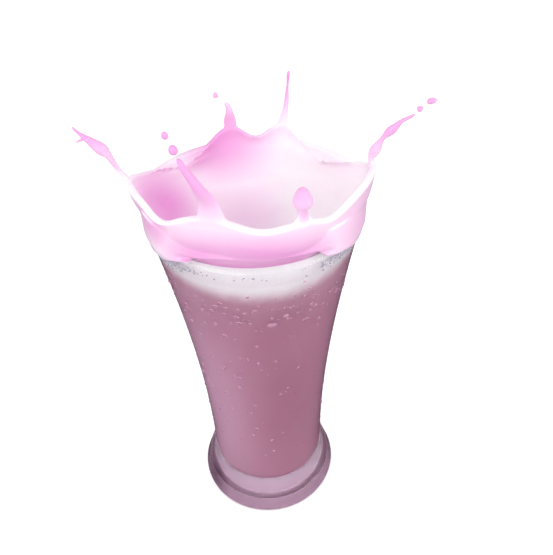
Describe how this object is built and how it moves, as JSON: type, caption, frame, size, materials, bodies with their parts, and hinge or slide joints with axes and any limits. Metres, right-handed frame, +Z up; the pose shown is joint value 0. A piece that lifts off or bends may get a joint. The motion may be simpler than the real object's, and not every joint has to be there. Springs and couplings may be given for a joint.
{
  "type": "glass of rose milk with a splash",
  "caption": "Tall footed glass brim-full of rose milk under a froth band, with a crown-shaped splash of fingers rising over the rim and drops thrown off it.",
  "frame": {"origin": "centre of the flat underside of the glass's foot", "axes": "+Z up along the glass's axis, -Y towards the front, +X to the right"},
  "size_m": [0.1131, 0.09, 0.1984],
  "materials": {
    "glass": "clear pressed and blown glass, polished, misted with small water beads outside",
    "drink": "opaque mauve-pink milk, smooth and wet",
    "froth": "pale pink froth of fine bubbles",
    "splash": "opaque rose-pink milk, smooth, wet and glossy"
  },
  "bodies": {
    "root": {"glass": "glass", "drink": "drink", "froth": "froth", "splash": "splash", "drop_front_left_low": "splash", "drop_front_left_high": "splash", "drop_back_left": "splash", "drop_right_near": "splash", "drop_right_far": "splash"}
  },
  "joints": []
}
